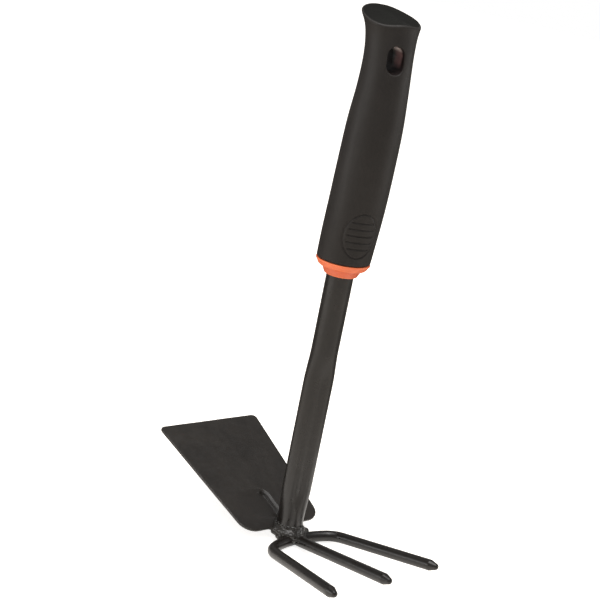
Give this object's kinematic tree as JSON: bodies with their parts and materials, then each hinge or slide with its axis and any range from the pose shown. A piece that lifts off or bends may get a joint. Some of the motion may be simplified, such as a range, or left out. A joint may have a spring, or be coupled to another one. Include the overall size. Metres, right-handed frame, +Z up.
{
  "type": "hand double hoe",
  "caption": "Short-handled garden hoe: black steel shank with a plate blade on one side, a round-tined fork on the other, and a soft black grip with an orange collar and a hanging slot.",
  "frame": {"origin": "bottom centre of the whole tool's bounding box", "axes": "+Z up along the shank, +X out along the tines, -X out along the blade, Y across the blade and the fork"},
  "size_m": [0.1892, 0.0868, 0.3321],
  "materials": {
    "painted_steel": "semi-gloss black paint",
    "painted_weld": "semi-gloss black paint over rough weld",
    "soft_sleeve": "satin soft rubber",
    "orange_core": "smooth moulded plastic"
  },
  "bodies": {
    "root": {"shank_tube": "painted_steel", "hoe_blade": "painted_steel", "centre_tine": "painted_steel", "outer_tine_left": "painted_steel", "outer_tine_right": "painted_steel", "grip_sleeve": "soft_sleeve", "handle_core": "orange_core", "weld_shank_front_left": "painted_weld", "weld_shank_front_right": "painted_weld", "weld_shank_rear_left": "painted_weld", "weld_shank_rear_right": "painted_weld", "weld_tang_left": "painted_weld", "weld_tang_right": "painted_weld", "weld_fork_left": "painted_weld", "weld_fork_right": "painted_weld"}
  },
  "joints": []
}
